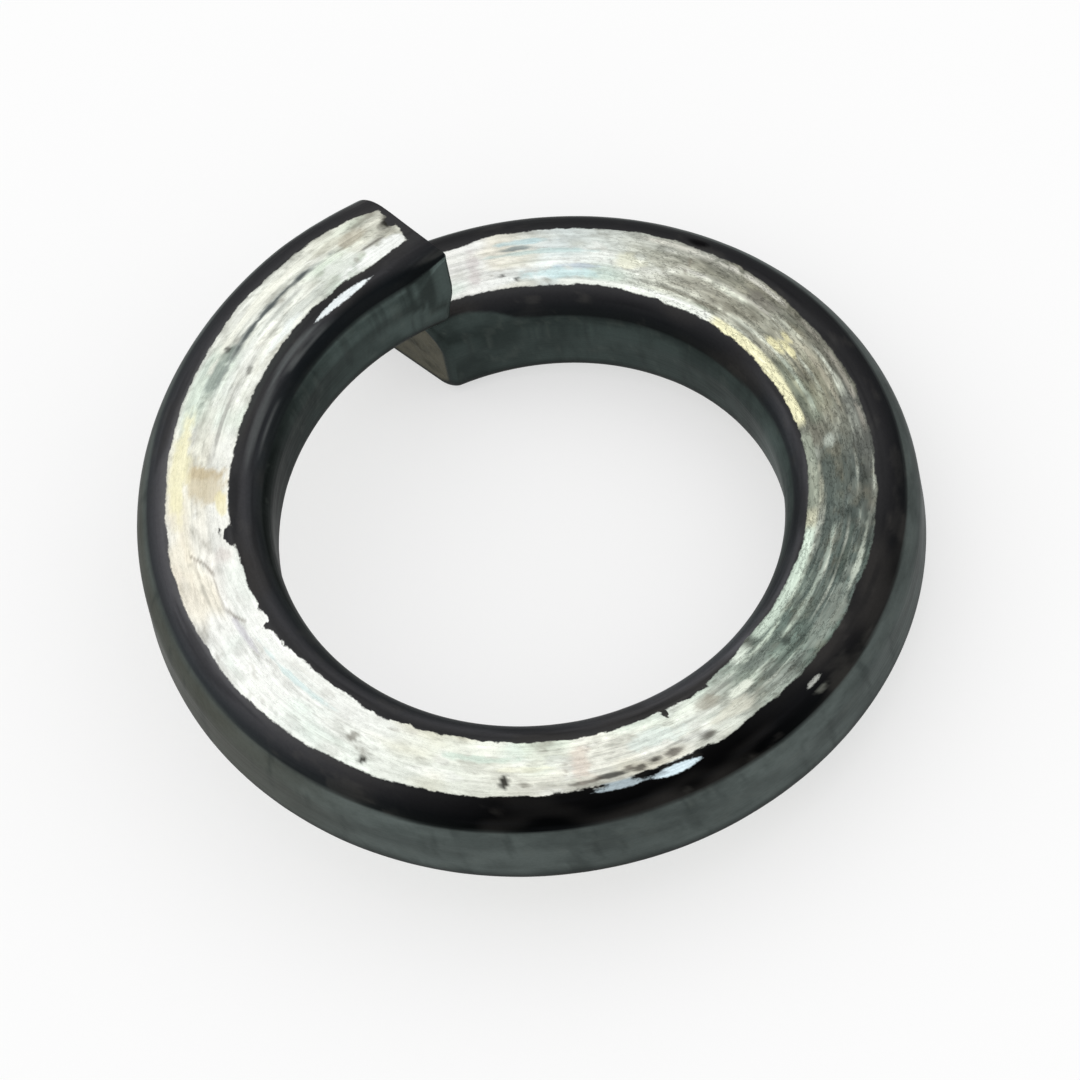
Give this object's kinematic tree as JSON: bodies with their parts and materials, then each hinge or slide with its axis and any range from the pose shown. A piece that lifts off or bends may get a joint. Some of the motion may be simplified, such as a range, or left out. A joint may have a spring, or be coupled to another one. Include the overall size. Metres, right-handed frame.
{
  "type": "spring lock washer",
  "caption": "Single-turn helical spring lock washer of rounded steel section, cut on the skew with its ends sprung apart, to keep a screw or nut from working loose.",
  "frame": {"origin": "on the ring's axis, level with the lowest corner of the low end, which is the bottom centre of the bounding box", "axes": "+Z runs along the ring's axis from the low end towards the raised end; the two cut ends lie near +Y, at 100 degrees from +X"},
  "size_m": [0.0382, 0.0382, 0.012],
  "materials": {
    "plated_steel": "thin bright zinc plating, streaked and lightly stained"
  },
  "bodies": {
    "root": {"washer": "plated_steel"}
  },
  "joints": []
}
